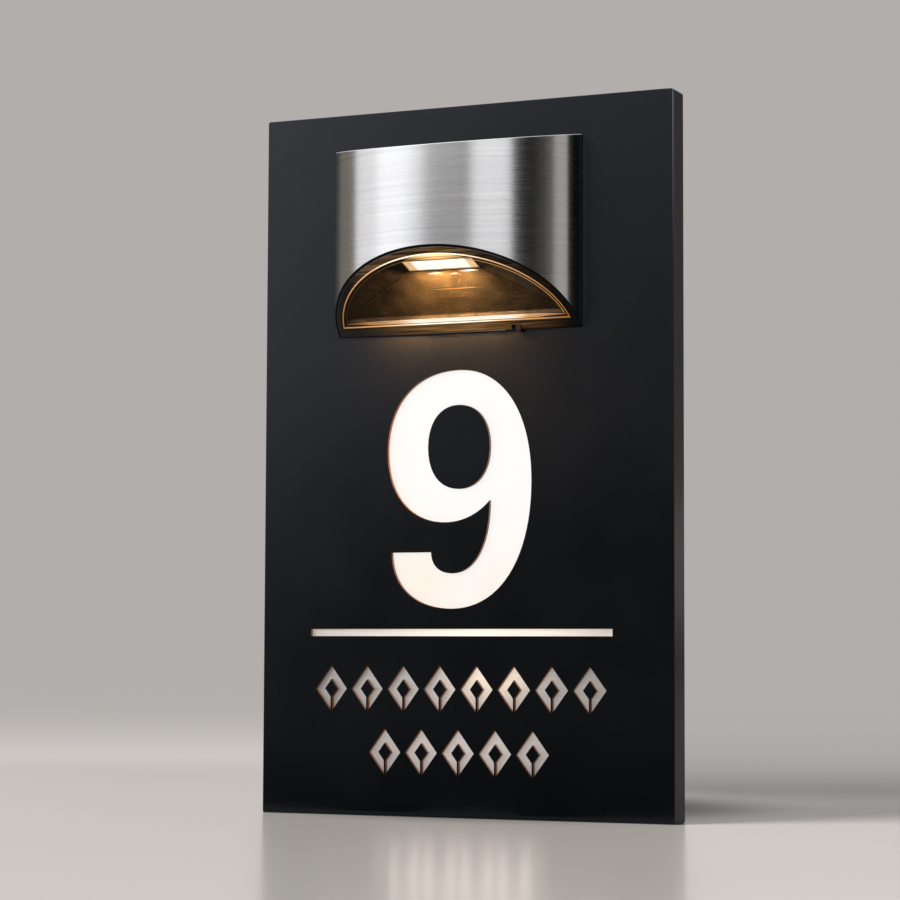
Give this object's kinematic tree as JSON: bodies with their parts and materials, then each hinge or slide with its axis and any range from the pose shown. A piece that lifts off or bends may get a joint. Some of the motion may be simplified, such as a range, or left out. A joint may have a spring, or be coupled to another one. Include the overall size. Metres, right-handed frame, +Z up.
{
  "type": "illuminated house number sign",
  "caption": "Black folded-steel house number panel with a lit numeral, a straight bar and lozenge cut-outs under a half-round brushed downlight.",
  "frame": {"origin": "middle of the four wall holes, on the wall plane at the back of the sign", "axes": "+X to the right seen from the front, +Y into the wall, +Z up; the sign faces -Y"},
  "size_m": [0.2, 0.0493, 0.321],
  "materials": {
    "panel_black": "satin black powder coat",
    "opal_acrylic": "opal, lit from behind",
    "brushed_steel": "brushed",
    "white_plastic": "matt moulded",
    "board_white": "white solder mask",
    "led_yellow": "phosphor",
    "plug_white": "moulded",
    "zinc_steel": "zinc plated",
    "galvanised": "galvanised",
    "stainless_screw": "plain",
    "rubber_black": "matt",
    "cable_black": "matt jacket",
    "foam_black": "closed-cell foam",
    "housing_black": "fine satin moulding",
    "chamber_grey": "satin grey-brown",
    "clear_lens": "clear",
    "solar_glass": "clear, polished",
    "solar_blue": "dark blue cells",
    "brass": "knurled",
    "board_green": "green solder mask",
    "component_black": "moulded",
    "battery_green": "plain sleeve",
    "nickel": "nickel plated",
    "switch_black": "moulded",
    "switch_red": "moulded"
  },
  "bodies": {
    "sign": {"fascia_tray": "panel_black", "number_counter": "panel_black", "number_diffuser": "opal_acrylic", "steel_backing": "brushed_steel", "light_box": "white_plastic", "number_led_board": "board_white", "number_leds": "led_yellow", "number_plug": "plug_white", "weld_studs": "zinc_steel", "stud_nuts": "zinc_steel", "wall_plate": "galvanised", "clinch_nuts": "zinc_steel", "tray_screws": "stainless_screw", "grommet": "rubber_black", "link_cable": "cable_black", "lamp_gasket": "foam_black", "lamp_cover": "brushed_steel", "lamp_housing": "housing_black", "light_chamber": "chamber_grey", "led_window": "clear_lens", "led_strip": "board_white", "lamp_leds": "led_yellow", "strip_screws": "stainless_screw", "solar_glass": "solar_glass", "solar_cell": "solar_blue", "rear_cover": "housing_black", "rear_seal": "rubber_black", "rear_cover_screws": "stainless_screw", "lamp_inserts": "brass", "lamp_screws": "stainless_screw", "charge_board": "board_green", "board_screws": "stainless_screw", "board_components": "component_black", "charge_plug": "plug_white", "battery_cradle": "housing_black", "battery": "battery_green", "battery_contact": "nickel", "battery_spring": "nickel", "switch_body": "switch_black"},
    "slider": {"switch_slider": "switch_red"}
  },
  "joints": [
    {"name": "switch_slide", "type": "slide", "parent": "sign", "child": "slider", "axis": [1, 0, 0], "range_m": [-0.002, 0]}
  ]
}
